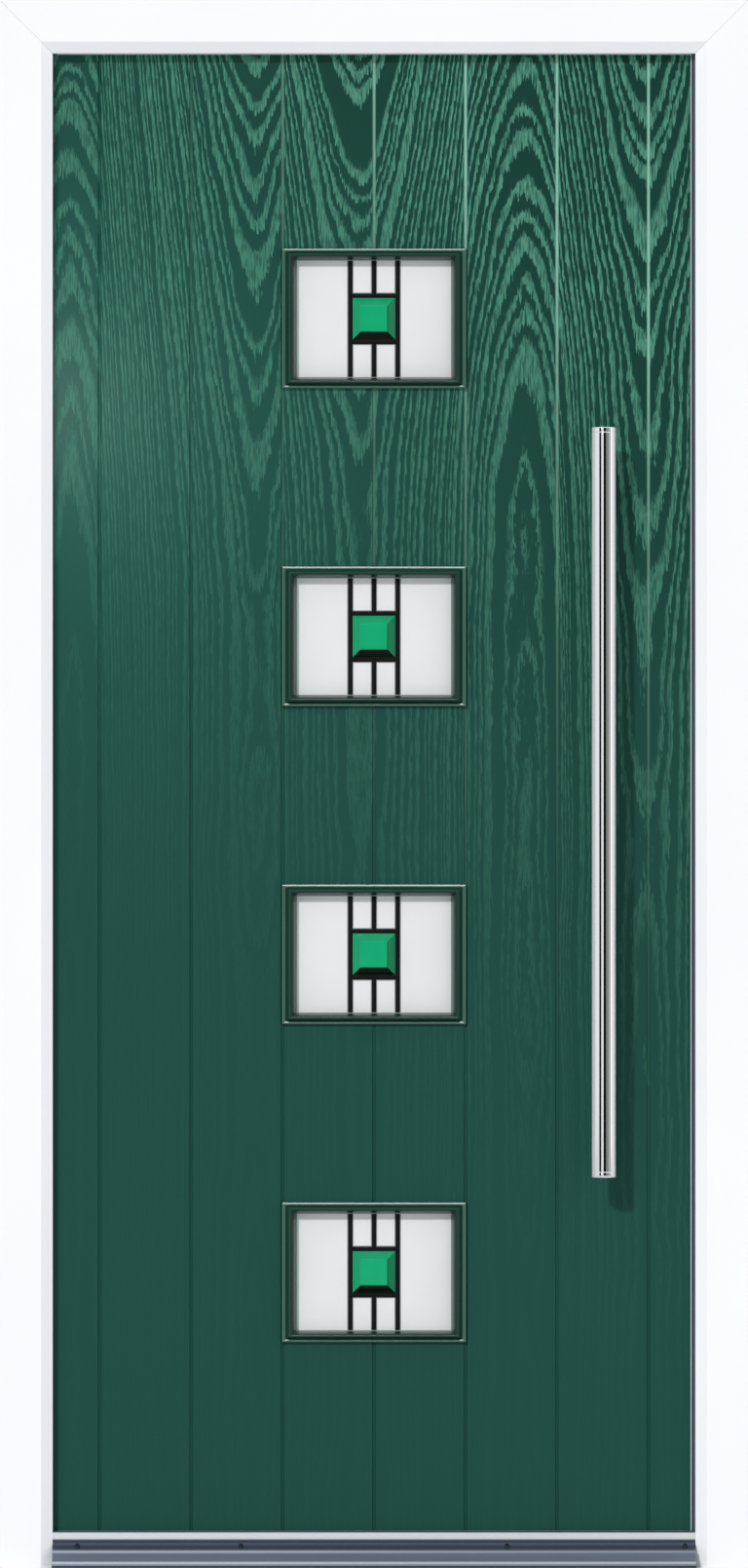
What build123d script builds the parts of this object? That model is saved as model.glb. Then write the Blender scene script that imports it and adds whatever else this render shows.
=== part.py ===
import os

from build123d import *

# A front door of moulded planks in its own plastic frame: four small glazed windows, a long pull bar outside,
# a lever and a turn inside. X runs along the width, Y from the street into the house, Z up.
# The origin lies on the floor below the middle of the frame.

# Outer frame
frame_width = 1000.0
frame_height = 2094.0
frame_depth = 70.0
frame_face = 70.0
frame_rebate = 20.0
stop_depth = 22.0
frame_bevel = 15.0
frame_bevel_depth = 9.0

# Frame fixings
fixing_radius = 3.75
fixing_end = 150.0
fixing_count = 4

# Weather seal between the stop and the leaf
seal_gap = 4.0
seal_lip = 4.0
seal_root = 8.0
seal_clear = 0.3

# Threshold
sill_height = 48.0
sill_projection = 25.0
sill_upstand = 10.0
sill_floor = 25.0
sill_nose_radius = 2.5
sill_nose_reach = 2.0
tread_shares = ((0.0, 0.0), (0.0, 0.08), (0.05, 0.17), (0.11, 0.17), (0.14, 0.13), (0.50, 0.40), (0.53, 0.49),
                (0.60, 0.50), (0.63, 0.45), (1.0, 0.72))
nose_foot_share = 0.79

# Door leaf
leaf_thickness = 44.0
leaf_gap = 4.0
leaf_lap = 18.0
skin = 3.0
hinge_stile_width = 40.0
lock_stile_width = 95.0
top_rail_height = 45.0
bottom_rail_height = 60.0

# Plank grooves
groove_count = 7
groove_edge = 78.5
groove_width = 5.0
groove_depth = 1.8
groove_floor_share = 0.4

# Glazing
window_count = 4
window_head = 370.0
window_foot = 363.5
sight_width = 206.0
sight_height = 156.0
cassette_side = 20.5
cassette_head = 15.5
cassette_bead = 6.0
cassette_bead_step = 4.0
cassette_rise = 13.0
cassette_crown_inset = 2.0
cassette_slope_share = 0.5
aperture_margin_side = 13.0
aperture_margin_head = 11.0
cassette_clear = 1.0
pane_clear = 2.0
pane = 4.0
unit_thickness = 28.0
spacer_setback = 4.0
spacer_bar = 6.0

# Leaded pattern and bevelled block on the outer panes
came_width = 6.0
came_height = 2.0
came_clear = 0.3
block_width = 57.5
block_height = 56.0
block_edge = 2.5
block_rise = 8.0
block_bevel = 10.5
block_clear = 0.2

# Pull bar
bar_radius = 16.0
bar_length = 1000.0
bar_edge = 139.5
bar_z = 1022.5
bar_reach = 59.0
bar_chamfer = 1.5
post_inset = 100.0
post_radius = 9.0

# Hinges
hinge_end = 220.0
hinge_count = 3
hinge_height = 100.0
hinge_plate_width = 40.0
hinge_plate = 4.0
knuckle_radius = 9.0
knuckle_clear = 0.5
hinge_pin_radius = 5.0
hinge_pin_setback = 2.0

# Lock, handle and turn
handle_height = 1030.0
handle_to_turn = 92.0
backset = 45.0
lock_case_depth = 68.0
lock_case_thickness = 16.0
lock_case_over = 60.0
lock_case_under = 50.0
faceplate = 3.0
faceplate_width = 24.0
faceplate_over = 25.0
latch_over_handle = 30.0
latch_height = 20.0
latch_width = 12.0
latch_throw = 12.0
latch_flat = 3.0
latch_tail = 28.0
deadbolt_height = 34.0
deadbolt_width = 12.0
deadbolt_throw = 20.0
deadbolt_tail = 38.0
bolt_clear = 0.3
keep_plate = 2.0
keep_width = 26.0
keep_over = 14.0
keep_clear = 2.0
keep_pocket_spare = 4.0

# Inside furniture
furniture_plate = 9.0
furniture_width = 36.0
furniture_over = 55.0
furniture_under = 48.0
furniture_edge = 2.5
lever_radius = 9.5
lever_seat = 6.0
lever_reach = 44.0
lever_length = 118.0
spindle_radius = 4.0
turn_radius = 8.0
turn_seat = 6.0
turn_collar = 8.0
turn_grip_length = 30.0
turn_grip_width = 9.0
turn_grip_height = 16.0
turn_grip_edge = 3.0
spindle_end = 3.0

# Fits and cuts
running_fit = 0.08
seat_fit = 0.05
hole_clear = 1.0
overrun = 5.0

# Planes that the pieces share
street_face = -frame_depth / 2
house_face = frame_depth / 2
stop_back = street_face + stop_depth
jamb_back = frame_face - frame_rebate
leaf_front = stop_back + seal_gap
leaf_back = leaf_front + leaf_thickness
leaf_middle = leaf_front + leaf_thickness / 2
leaf_left = -frame_width / 2 + jamb_back + leaf_gap
leaf_right = -leaf_left
leaf_bottom = sill_height - leaf_lap
leaf_top = frame_height - jamb_back - leaf_gap
daylight_half = frame_width / 2 - frame_face
aperture_width = sight_width + 2 * aperture_margin_side
aperture_height = sight_height + 2 * aperture_margin_head
unit_front = leaf_middle - unit_thickness / 2
unit_back = leaf_middle + unit_thickness / 2
groove_pitch = (leaf_right - leaf_left - 2 * groove_edge) / (groove_count - 1)
window_top = leaf_top - window_head
window_pitch = (window_top - leaf_bottom - window_foot) / (window_count - 1)
window_places = [window_top - window_pitch * row for row in range(window_count)]
hinge_pitch = (leaf_top - leaf_bottom - 2 * hinge_end) / (hinge_count - 1)
hinge_places = [leaf_bottom + hinge_end + hinge_pitch * step for step in range(hinge_count)]
hinge_x = leaf_left - leaf_gap / 2
hinge_y = leaf_back + knuckle_radius + knuckle_clear
bar_x = leaf_right - bar_edge
bar_y = leaf_front - bar_reach
spindle_x = leaf_right - backset
turn_z = handle_height - handle_to_turn
latch_z = handle_height + latch_over_handle
case_top = handle_height + lock_case_over
case_bottom = turn_z - lock_case_under
furniture_face = leaf_back + furniture_plate


# Shared shapes
def block(low, high):
    size = Vector(*high) - Vector(*low)
    return Pos(*low) * Box(size.X, size.Y, size.Z, align=(Align.MIN, Align.MIN, Align.MIN))


def rod(start, end, radius):
    # A round bar between two points
    run = Vector(*end) - Vector(*start)
    return Plane(origin=start, z_dir=run) * Cylinder(radius, run.length, align=(Align.CENTER, Align.CENTER, Align.MIN))


def upright(depth):
    # A plane across the depth, seen from the street
    return Plane(origin=(0, depth, 0), x_dir=(1, 0, 0), z_dir=(0, -1, 0))


def taper(size, depth, end_size, end_depth):
    # A four-sided body between two rectangles that face the street
    return loft([upright(depth) * Rectangle(*size), upright(end_depth) * Rectangle(*end_size)], ruled=True)


def grown(size, side, head):
    return size[0] + 2 * side, size[1] + 2 * head


sight = (sight_width, sight_height)
aperture = (aperture_width, aperture_height)
unit = grown(aperture, -pane_clear, -pane_clear)


# Outer frame: one section, mitred at the two top corners
def frame_section(place):
    outline = Polyline(
        (0, 0), (frame_face - frame_bevel, 0), (frame_face, frame_bevel_depth), (frame_face, stop_depth),
        (jamb_back, stop_depth), (jamb_back, frame_depth), (0, frame_depth), close=True)
    return place * make_face(outline)


def mitre(side):
    corner = (side * frame_width / 2, 0, frame_height)
    return Plane(origin=corner, z_dir=(-side, 0, 1))


def plain_jamb():
    place = Plane(origin=(-frame_width / 2, street_face, 0), x_dir=(1, 0, 0), z_dir=(0, 0, 1))
    jamb = extrude(frame_section(place), frame_height)
    jamb = split(jamb, bisect_by=mitre(-1), keep=Keep.BOTTOM)
    spacing = (frame_height - 2 * fixing_end) / (fixing_count - 1)
    for step in range(fixing_count):
        height = fixing_end + spacing * step
        start = (-frame_width / 2 - overrun, leaf_middle, height)
        end = (-frame_width / 2 + frame_face, leaf_middle, height)
        jamb -= rod(start, end, fixing_radius)
    return jamb


def bolt_pocket(height, width, tall, throw):
    # The hole that a bolt enters, through the keep and into the jamb
    half = width / 2 + keep_clear
    reach = leaf_right + throw + keep_pocket_spare
    return block((leaf_right, leaf_middle - half, height - tall / 2 - keep_clear),
                 (reach, leaf_middle + half, height + tall / 2 + keep_clear))


def keep_pockets():
    latch_pocket = bolt_pocket(latch_z, latch_width, latch_height, latch_throw)
    return latch_pocket + bolt_pocket(turn_z, deadbolt_width, deadbolt_height, deadbolt_throw)


def keep_blank():
    face = frame_width / 2 - jamb_back
    low = turn_z - deadbolt_height / 2 - keep_clear - keep_over
    high = latch_z + latch_height / 2 + keep_clear + keep_over
    return block((face, leaf_middle - keep_width / 2, low), (face + keep_plate, leaf_middle + keep_width / 2, high))


def lock_jamb():
    return mirror(plain_jamb(), about=Plane.YZ) - keep_blank() - keep_pockets()


def head():
    place = Plane(origin=(-frame_width / 2, street_face, frame_height), x_dir=(0, 0, -1), z_dir=(1, 0, 0))
    rail = extrude(frame_section(place), frame_width)
    rail = split(rail, bisect_by=mitre(-1), keep=Keep.TOP)
    return split(rail, bisect_by=mitre(1), keep=Keep.TOP)


def frame_gasket():
    top = frame_height - frame_face
    outer = block((-daylight_half - seal_root, stop_back, sill_height - seal_root),
                  (daylight_half + seal_root, leaf_front - seal_clear, top + seal_root))
    inner = block((-daylight_half + seal_lip, stop_back - overrun, sill_height),
                  (daylight_half - seal_lip, leaf_front + overrun, top - seal_lip))
    return outer - inner


# Threshold: a ridged tread, an upstand with a rounded nose, and a lower floor below the leaf
def threshold():
    front = street_face - sill_projection
    wall = stop_back - sill_upstand
    points = [(front + share * (wall - front), rise * sill_height) for share, rise in tread_shares]
    points += [(wall, nose_foot_share * sill_height), (wall - sill_nose_reach, nose_foot_share * sill_height)]
    points += [(wall - sill_nose_reach, sill_height), (stop_back, sill_height)]
    points += [(stop_back, sill_floor), (house_face, sill_floor), (house_face, 0)]
    half = frame_width / 2 - jamb_back
    place = Plane(origin=(-half, 0, 0), x_dir=(0, 1, 0), z_dir=(1, 0, 0))
    section = make_face(Polyline(*points, close=True))
    nose = section.vertices().group_by(Axis.Y)[-1].sort_by(Axis.X)[0]
    section = fillet(nose, sill_nose_radius)
    bar = extrude(place * section, 2 * half)
    for side in (-1, 1):
        inner = side * daylight_half
        outer = side * (half + overrun)
        bar -= block((min(inner, outer), front - overrun, -overrun),
                     (max(inner, outer), stop_back, sill_height + overrun))
    return bar


# Door leaf: two moulded skins over a timber edge and a foam core
def window_holes(front, back):
    holes = []
    for height in window_places:
        holes.append(block((-aperture_width / 2, front - overrun, height - aperture_height / 2),
                           (aperture_width / 2, back + overrun, height + aperture_height / 2)))
    return holes


def plank_grooves():
    floor = groove_width * groove_floor_share
    grooves = []
    for step in range(groove_count):
        middle = (step - (groove_count - 1) / 2) * groove_pitch
        outline = Polyline((middle - groove_width / 2, leaf_front), (middle + groove_width / 2, leaf_front),
                           (middle + floor / 2, leaf_front + groove_depth),
                           (middle - floor / 2, leaf_front + groove_depth), close=True)
        place = Plane(origin=(0, 0, leaf_bottom), x_dir=(1, 0, 0), z_dir=(0, 0, 1))
        grooves.append(extrude(place * make_face(outline), leaf_top - leaf_bottom))
    return grooves


def outer_skin():
    sheet = block((leaf_left, leaf_front, leaf_bottom), (leaf_right, leaf_front + skin, leaf_top))
    return sheet - plank_grooves() - window_holes(leaf_front, leaf_back)


def house_side(shape):
    # The same shape turned over to the house side of the leaf
    return mirror(shape, about=Plane(origin=(0, leaf_middle, 0), z_dir=(0, 1, 0)))


def inner_skin():
    return house_side(outer_skin()) - spindle_holes()


def foam_core():
    filling = block((leaf_left + hinge_stile_width, leaf_front + skin, leaf_bottom + bottom_rail_height),
                    (leaf_right - lock_stile_width, leaf_back - skin, leaf_top - top_rail_height))
    return filling - window_holes(leaf_front, leaf_back)


def hinge_stile():
    return block((leaf_left, leaf_front + skin, leaf_bottom),
                 (leaf_left + hinge_stile_width, leaf_back - skin, leaf_top))


def lock_stile():
    bar = block((leaf_right - lock_stile_width, leaf_front + skin, leaf_bottom),
                (leaf_right, leaf_back - skin, leaf_top))
    return bar - lock_case_blank() - faceplate_blank() - spindle_holes()


def rail(low, high):
    return block((leaf_left + hinge_stile_width, leaf_front + skin, low),
                 (leaf_right - lock_stile_width, leaf_back - skin, high))


# Glazing
def outer_cassette():
    rim = grown(sight, cassette_side, cassette_head)
    step = grown(rim, -cassette_bead_step, -cassette_bead_step)
    crown = grown(step, -cassette_crown_inset, -cassette_crown_inset)
    leg = grown(aperture, -cassette_clear, -cassette_clear)
    mouth = grown(sight, cassette_side * cassette_slope_share, cassette_head * cassette_slope_share)
    bead = taper(rim, leaf_front, rim, leaf_front - cassette_bead)
    bead = chamfer(bead.faces().sort_by(Axis.Y)[0].edges(), cassette_crown_inset)
    frame = bead + taper(step, leaf_front, crown, leaf_front - cassette_rise)
    frame += taper(leg, leaf_front, leg, unit_front)
    frame -= taper(sight, unit_front, mouth, leaf_front - cassette_rise)
    return frame


def glass(front, back):
    return taper(unit, front, unit, back)


def spacer():
    outer = grown(unit, -spacer_setback, -spacer_setback)
    inner = grown(outer, -spacer_bar, -spacer_bar)
    front = unit_front + pane
    back = unit_back - pane
    return taper(outer, front, outer, back) - taper(inner, front - overrun, inner, back + overrun)


def came(left, right, low, high):
    return block((left, unit_front - came_height, low), (right, unit_front, high))


def leaded_pattern():
    top = sight_height / 2 - came_clear
    beam = block_height / 2
    side = block_width / 2
    lattice = came(-side - came_width, -side, -top, top) + came(side, side + came_width, -top, top)
    lattice += came(-side, side, beam, beam + came_width) + came(-side, side, -beam - came_width, -beam)
    lattice += came(-came_width / 2, came_width / 2, beam + came_width, top)
    return lattice + came(-came_width / 2, came_width / 2, -top, -beam - came_width)


def bevelled_block():
    base = Rectangle(block_width - 2 * block_clear, block_height - 2 * block_clear)
    blank = extrude(upright(unit_front) * base, block_edge + block_rise)
    table = blank.faces().sort_by(Axis.Y)[0]
    return chamfer(table.edges(), block_bevel, length2=block_rise, reference=table)


# Pull bar on two posts
def pull_bar():
    bar = rod((bar_x, bar_y, bar_z - bar_length / 2), (bar_x, bar_y, bar_z + bar_length / 2), bar_radius)
    return chamfer(bar.edges().filter_by(GeomType.CIRCLE), bar_chamfer)


def pull_post(side):
    height = bar_z + side * (bar_length / 2 - post_inset)
    stem = rod((bar_x, leaf_front, height), (bar_x, bar_y, height), post_radius)
    saddle = rod((bar_x, bar_y, height - 2 * post_radius), (bar_x, bar_y, height + 2 * post_radius),
                 bar_radius + seat_fit)
    return stem - saddle


# Hinges: the lower half is fixed to the jamb, the upper half to the leaf
def hinge_half(middle, side):
    # A flag-shaped section, a plate that runs into a bored barrel, carried up to half the hinge's height
    start = middle + knuckle_clear / 2 if side > 0 else middle - hinge_height / 2
    place = Plane(origin=(hinge_x, leaf_back, start), x_dir=(side, 0, 0), z_dir=(0, 0, side))
    axis_rise = knuckle_radius + knuckle_clear
    plate = Rectangle(hinge_plate_width + leaf_gap / 2, hinge_plate, align=(Align.MIN, Align.MIN))
    web = Pos(0, knuckle_clear) * Rectangle(knuckle_radius, knuckle_radius, align=(Align.MIN, Align.MIN))
    barrel = Pos(0, axis_rise) * Circle(knuckle_radius)
    bore = Pos(0, axis_rise) * Circle(hinge_pin_radius + seat_fit)
    return extrude(place * (plate + web + barrel - bore), side * (hinge_height - knuckle_clear) / 2)


def hinge_pin(middle):
    half = hinge_height / 2 - hinge_pin_setback
    return rod((hinge_x, hinge_y, middle - half), (hinge_x, hinge_y, middle + half), hinge_pin_radius)


# Lock in the edge of the leaf
def lock_case_blank():
    front = leaf_right - faceplate
    return block((front - lock_case_depth, leaf_middle - lock_case_thickness / 2, case_bottom),
                 (front, leaf_middle + lock_case_thickness / 2, case_top))


def faceplate_blank():
    return block((leaf_right - faceplate, leaf_middle - faceplate_width / 2, case_bottom - faceplate_over),
                 (leaf_right, leaf_middle + faceplate_width / 2, case_top + faceplate_over))


def bolt_channel(height, width, tall, tail, travel):
    half = width / 2 + bolt_clear
    return block((leaf_right - tail - travel - bolt_clear, leaf_middle - half, height - tall / 2 - bolt_clear),
                 (leaf_right + overrun, leaf_middle + half, height + tall / 2 + bolt_clear))


def bolt_channels():
    latch_way = bolt_channel(latch_z, latch_width, latch_height, latch_tail, latch_throw)
    return latch_way + bolt_channel(turn_z, deadbolt_width, deadbolt_height, deadbolt_tail, 0)


def spindle_bore(height, radius):
    start = (spindle_x, leaf_middle - lock_case_thickness / 2 + spindle_end, height)
    return rod(start, (spindle_x, leaf_back + overrun, height), radius)


def spindle_holes():
    # Square holes routed from the house side, a little wider than the spindles
    half = spindle_radius + hole_clear
    holes = []
    for height in (handle_height, turn_z):
        holes.append(block((spindle_x - half, leaf_middle, height - half),
                           (spindle_x + half, leaf_back + furniture_plate / 2, height + half)))
    return holes


def lock_case():
    radius = spindle_radius + running_fit
    bores = spindle_bore(handle_height, radius) + spindle_bore(turn_z, radius)
    return lock_case_blank() - bolt_channels() - bores


def lock_faceplate():
    return faceplate_blank() - bolt_channels()


def latch():
    back = leaf_right - latch_tail
    tip = leaf_right + latch_throw
    half = latch_width / 2
    outline = Polyline((back, leaf_middle - half), (leaf_right, leaf_middle - half),
                       (tip, leaf_middle + half - latch_flat), (tip, leaf_middle + half),
                       (back, leaf_middle + half), close=True)
    place = Plane(origin=(0, 0, latch_z - latch_height / 2), x_dir=(1, 0, 0), z_dir=(0, 0, 1))
    return extrude(place * make_face(outline), latch_height)


def deadbolt():
    half = deadbolt_width / 2
    return block((leaf_right - deadbolt_tail, leaf_middle - half, turn_z - deadbolt_height / 2),
                 (leaf_right, leaf_middle + half, turn_z + deadbolt_height / 2))


# Inside handle
def furniture_blank():
    low = turn_z - furniture_under
    high = handle_height + furniture_over
    place = Plane(origin=(spindle_x, leaf_back, (low + high) / 2), x_dir=(1, 0, 0), z_dir=(0, 1, 0))
    outline = Rot(0, 0, 90) * SlotOverall(high - low, furniture_width)
    plate = extrude(place * outline, furniture_plate)
    return chamfer(plate.faces().sort_by(Axis.Y)[-1].edges(), furniture_edge)


def handle_plate():
    lever_hole = rod((spindle_x, furniture_face - lever_seat, handle_height),
                     (spindle_x, furniture_face + overrun, handle_height), lever_radius + running_fit)
    turn_hole = rod((spindle_x, furniture_face - turn_seat, turn_z),
                    (spindle_x, furniture_face + overrun, turn_z), turn_radius + running_fit)
    return furniture_blank() - lever_hole - turn_hole - spindle_holes()


def lever():
    seat = furniture_face - lever_seat + running_fit
    grip_y = furniture_face + lever_reach
    corner = (spindle_x, grip_y, handle_height)
    tip = (spindle_x - lever_length, grip_y, handle_height)
    elbow = Plane(origin=corner, z_dir=(1, -1, 0))
    neck = rod((spindle_x, seat, handle_height), (spindle_x, grip_y + lever_radius, handle_height), lever_radius)
    grip = rod((spindle_x + lever_radius, grip_y, handle_height), tip, lever_radius)
    bar = split(neck, bisect_by=elbow, keep=Keep.TOP) + split(grip, bisect_by=elbow, keep=Keep.BOTTOM)
    spindle = rod((spindle_x, leaf_middle - lock_case_thickness / 2 + spindle_end + running_fit, handle_height),
                  (spindle_x, seat, handle_height), spindle_radius)
    return bar + spindle


def thumb_turn():
    seat = furniture_face - turn_seat + running_fit
    shoulder = furniture_face + turn_collar
    collar = rod((spindle_x, seat, turn_z), (spindle_x, shoulder, turn_z), turn_radius)
    grip = block((spindle_x - turn_grip_width / 2, shoulder, turn_z - turn_grip_length / 2),
                 (spindle_x + turn_grip_width / 2, shoulder + turn_grip_height, turn_z + turn_grip_length / 2))
    grip = chamfer(grip.edges().filter_by(Axis.Y), turn_grip_edge)
    spindle = rod((spindle_x, leaf_middle - lock_case_thickness / 2 + spindle_end + running_fit, turn_z),
                  (spindle_x, seat, turn_z), spindle_radius)
    return collar + grip + spindle


# All pieces by name
pieces = {
    "head": head(),
    "hinge_jamb": plain_jamb(),
    "lock_jamb": lock_jamb(),
    "threshold": threshold(),
    "frame_gasket": frame_gasket(),
    "keep_plate": keep_blank() - keep_pockets(),
    "hinge_pins": Compound(children=[hinge_pin(middle) for middle in hinge_places]),
    "outer_skin": outer_skin(),
    "inner_skin": inner_skin(),
    "foam_core": foam_core(),
    "hinge_stile": hinge_stile(),
    "lock_stile": lock_stile(),
    "top_rail": rail(leaf_top - top_rail_height, leaf_top),
    "bottom_rail": rail(leaf_bottom, leaf_bottom + bottom_rail_height),
    "pull_bar": pull_bar(),
    "pull_post_top": pull_post(1),
    "pull_post_bottom": pull_post(-1),
    "lock_case": lock_case(),
    "lock_faceplate": lock_faceplate(),
    "latch": latch(),
    "deadbolt": deadbolt(),
    "handle_plate": handle_plate(),
    "lever": lever(),
    "thumb_turn": thumb_turn(),
}

for name, middle in zip(("bottom", "middle", "top"), hinge_places):
    pieces[f"hinge_{name}_frame_half"] = hinge_half(middle, -1)
    pieces[f"hinge_{name}_leaf_half"] = hinge_half(middle, 1)

window_pieces = {
    "outer_cassette": outer_cassette(),
    "inner_cassette": house_side(outer_cassette()),
    "outer_pane": glass(unit_front, unit_front + pane),
    "inner_pane": glass(unit_back - pane, unit_back),
    "spacer": spacer(),
    "leaded_pattern": leaded_pattern(),
    "bevelled_block": bevelled_block(),
}
for row, height in enumerate(window_places, start=1):
    for name, shape in window_pieces.items():
        pieces[f"{name}_{row}"] = Pos(0, 0, height) * shape

os.makedirs("parts", exist_ok=True)
for name, shape in pieces.items():
    export_step(shape, f"parts/{name}.step")
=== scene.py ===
import math
from functools import partial

import bpy
import numpy as np
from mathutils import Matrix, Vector


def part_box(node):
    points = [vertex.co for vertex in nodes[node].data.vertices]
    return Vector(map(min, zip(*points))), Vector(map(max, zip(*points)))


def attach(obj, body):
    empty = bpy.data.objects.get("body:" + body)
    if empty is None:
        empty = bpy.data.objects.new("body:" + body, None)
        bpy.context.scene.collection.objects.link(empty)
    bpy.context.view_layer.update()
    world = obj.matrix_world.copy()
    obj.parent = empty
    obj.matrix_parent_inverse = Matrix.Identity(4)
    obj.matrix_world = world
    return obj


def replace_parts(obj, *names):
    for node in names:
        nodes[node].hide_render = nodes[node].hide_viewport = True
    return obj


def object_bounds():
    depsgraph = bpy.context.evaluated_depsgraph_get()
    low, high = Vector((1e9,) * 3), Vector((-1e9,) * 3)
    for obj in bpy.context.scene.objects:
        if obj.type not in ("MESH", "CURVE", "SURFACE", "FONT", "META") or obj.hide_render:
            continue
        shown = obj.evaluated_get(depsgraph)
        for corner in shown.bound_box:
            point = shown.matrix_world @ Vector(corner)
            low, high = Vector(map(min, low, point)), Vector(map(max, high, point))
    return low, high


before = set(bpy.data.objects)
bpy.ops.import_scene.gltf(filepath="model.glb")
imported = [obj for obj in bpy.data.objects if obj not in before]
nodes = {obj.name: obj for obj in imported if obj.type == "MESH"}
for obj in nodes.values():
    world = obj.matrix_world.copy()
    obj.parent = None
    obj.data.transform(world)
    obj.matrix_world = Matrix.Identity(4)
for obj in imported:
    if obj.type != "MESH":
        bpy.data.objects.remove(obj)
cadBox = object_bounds()
scene = bpy.context.scene
mm = 0.001
print("frame loaded:", len(nodes), "nodes")


def linear(code):  # sRGB hex to linear RGBA
    parts = [int(code[i:i + 2], 16) / 255 for i in (1, 3, 5)]
    return tuple(v / 12.92 if v <= 0.04045 else ((v + 0.055) / 1.055) ** 2.4 for v in parts) + (1.0,)


def addNode(tree, kind, inputs=None, out=0, stops=None, **settings):  # a node with its settings, values and links
    node = tree.nodes.new("ShaderNode" + kind)
    for key, value in settings.items():
        setattr(node, key, value)
    for key, value in (inputs or {}).items():
        if isinstance(value, bpy.types.NodeSocket):
            tree.links.new(value, node.inputs[key])
        else:
            node.inputs[key].default_value = value
    if stops:  # a ramp in steps: (place, red, green, blue) for each
        node.color_ramp.interpolation = "CONSTANT"
        for place, *colour in stops[1:-1]:
            node.color_ramp.elements.new(place)
        for element, (place, *colour) in zip(node.color_ramp.elements, stops):
            element.position, element.color = place, (*colour, 1.0)
    return node.outputs[out]


def newMaterial(name, **sockets):  # a material with constants set, and short ways to add nodes and feed its shader
    material = bpy.data.materials.new(name)
    material.use_nodes = True
    tree = material.node_tree
    shader = tree.nodes["Principled BSDF"]
    for key, value in sockets.items():
        shader.inputs[key.replace("_", " ")].default_value = value

    def feed(key, socket):
        tree.links.new(socket, shader.inputs[key])

    return material, partial(addNode, tree), feed


def dress(names, material):
    for name in names:
        nodes[name].data.materials.clear()
        nodes[name].data.materials.append(material)


def each(name):  # the four windows' pieces of one kind
    return [f"{name}_{row}" for row in range(1, 5)]


# Moulded skin: glass-reinforced plastic pressed on a wood-grain tool, then painted. The eye gets flat satin paint with
# broad ring lines that meet in points, close and upright at their sides, boldest towards the top, where the lines are
# painted lighter as a painted sheen and the relief is deeper.
# Lengths are in mm, heights of the arches and of the fade in m.
grain = {"leafHalf": 446.0, "plankPitch": 122.5, "grooveWide": 2.7, "relief": 0.45, "cloud": 435.0,
         # arches: pitch at the top, heights they start and end at, lines across a board and how those crowd sideways
         "ringRise": 42.0, "archLow": 1.12, "archHigh": 2.04, "archLines": 12.0, "archPower": 1.65,
         # wide and narrow years: how many rings they shift a line, and spells of them in a ring; a line's edges; pores
         "yearly": 1.5, "spells": 0.45, "lineFrom": (0.17, 0.31), "lineEdge": 0.08, "pores": (0.38, 0.58, 0.3),
         # painted sheen: the lines are painted lighter at the top and fade towards the foot, less so on the lock side
         "fadeLow": 0.55, "fadeHigh": 1.98, "fadeLean": 0.9, "fadeLeast": 0.2, "fadePower": 2.5,
         # swings of the lines as (rings, wide, tall): the log's bends, the saw's waver and the torn edge of each line
         "bend": (4.3, 215.0, 560.0), "waver": (1.1, 30.0, 110.0), "torn": (0.8, 2.4, 20.0),
         # grooves: a painted highlight, pale from one x to the other, and how much of the grooves' painted shade and
         # highlight shows at the foot and at the top
         "paintedLight": (-320.0, 100.0), "grooveTone": (0.2, 0.9),
         # how far apart the first and last boards are read, in swings and in rings
         "apart": (27.9, 40.0),
         # boards as cut: (first edge, point of the arches) and 1 for arches that point up
         "boards": ((-446.0, -405.0, 1), (-367.5, -158.0, 0), (-122.5, -18.0, 0), (122.5, 203.0, 1), (245.0, 365.0, 0))}


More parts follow.
